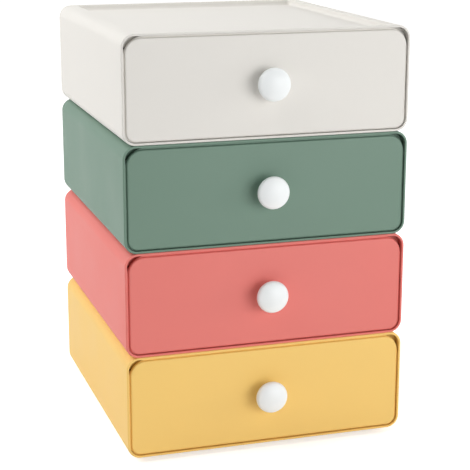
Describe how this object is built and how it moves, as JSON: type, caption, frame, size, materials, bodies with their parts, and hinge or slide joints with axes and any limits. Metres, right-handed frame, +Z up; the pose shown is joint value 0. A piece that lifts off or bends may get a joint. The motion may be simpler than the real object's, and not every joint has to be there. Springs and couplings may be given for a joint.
{
  "type": "desktop mini drawers",
  "caption": "Stack of small desktop drawer units with rounded long edges, flush fronts, round white knobs, rubber feet and a shallow tray sunk into each top.",
  "frame": {"origin": "middle of the stack's footprint, knobs included, at the surface that the lowest feet stand on", "axes": "+Z up; the drawer fronts face -Y and the drawers slide out along -Y; +X to the right seen from the front"},
  "size_m": [0.18, 0.201, 0.263],
  "materials": {
    "yellow_plastic": "satin moulded plastic, warm yellow",
    "coral_plastic": "satin moulded plastic, coral",
    "green_plastic": "satin moulded plastic, sage green",
    "ivory_plastic": "satin moulded plastic, ivory",
    "knob_plastic": "smooth semi-gloss moulded plastic, white",
    "screw_steel": "zinc-plated steel",
    "foot_rubber": "matt grey rubber"
  },
  "bodies": {
    "yellow_unit": {"yellow_case": "yellow_plastic", "yellow_feet": "foot_rubber"},
    "yellow_drawer_box": {"yellow_drawer": "yellow_plastic", "yellow_knob": "knob_plastic", "yellow_knob_screw": "screw_steel"},
    "coral_unit": {"coral_case": "coral_plastic", "coral_feet": "foot_rubber"},
    "coral_drawer_box": {"coral_drawer": "coral_plastic", "coral_knob": "knob_plastic", "coral_knob_screw": "screw_steel"},
    "green_unit": {"green_case": "green_plastic", "green_feet": "foot_rubber"},
    "green_drawer_box": {"green_drawer": "green_plastic", "green_knob": "knob_plastic", "green_knob_screw": "screw_steel"},
    "ivory_unit": {"ivory_case": "ivory_plastic", "ivory_feet": "foot_rubber"},
    "ivory_drawer_box": {"ivory_drawer": "ivory_plastic", "ivory_knob": "knob_plastic", "ivory_knob_screw": "screw_steel"}
  },
  "joints": [
    {"name": "coral_unit_lift", "type": "slide", "parent": "yellow_unit", "child": "coral_unit", "axis": [0, 0, 1], "range_m": [0, 0.015]},
    {"name": "green_unit_lift", "type": "slide", "parent": "coral_unit", "child": "green_unit", "axis": [0, 0, 1], "range_m": [0, 0.015]},
    {"name": "ivory_unit_lift", "type": "slide", "parent": "green_unit", "child": "ivory_unit", "axis": [0, 0, 1], "range_m": [0, 0.015]},
    {"name": "yellow_drawer_slide", "type": "slide", "parent": "yellow_unit", "child": "yellow_drawer_box", "axis": [0, -1, 0], "range_m": [0, 0.138]},
    {"name": "coral_drawer_slide", "type": "slide", "parent": "coral_unit", "child": "coral_drawer_box", "axis": [0, -1, 0], "range_m": [0, 0.138]},
    {"name": "green_drawer_slide", "type": "slide", "parent": "green_unit", "child": "green_drawer_box", "axis": [0, -1, 0], "range_m": [0, 0.138]},
    {"name": "ivory_drawer_slide", "type": "slide", "parent": "ivory_unit", "child": "ivory_drawer_box", "axis": [0, -1, 0], "range_m": [0, 0.138]}
  ]
}
